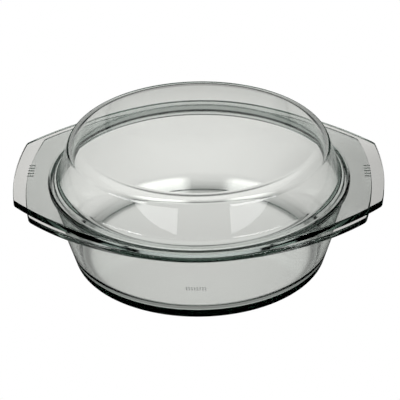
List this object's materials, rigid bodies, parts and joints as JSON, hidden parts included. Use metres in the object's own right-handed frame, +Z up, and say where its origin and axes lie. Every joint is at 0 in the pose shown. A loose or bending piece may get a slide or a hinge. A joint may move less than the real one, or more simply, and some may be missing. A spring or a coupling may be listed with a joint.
{
  "type": "covered casserole dish",
  "caption": "Round clear glass casserole dish with tab handles and a domed glass lid that lifts off.",
  "frame": {"origin": "centre of the foot, on the surface that the dish stands on", "axes": "+Z up, +X along the two tab handles, +Y across them"},
  "size_m": [0.272, 0.232, 0.1022],
  "materials": {
    "dish_glass": null,
    "lid_glass": null
  },
  "bodies": {
    "dish": {"dish": "dish_glass"},
    "lid": {"lid": "lid_glass"}
  },
  "joints": [
    {"name": "lid_lift", "type": "slide", "parent": "dish", "child": "lid", "axis": [0, 0, 1], "range_m": [0, 0.12]}
  ]
}
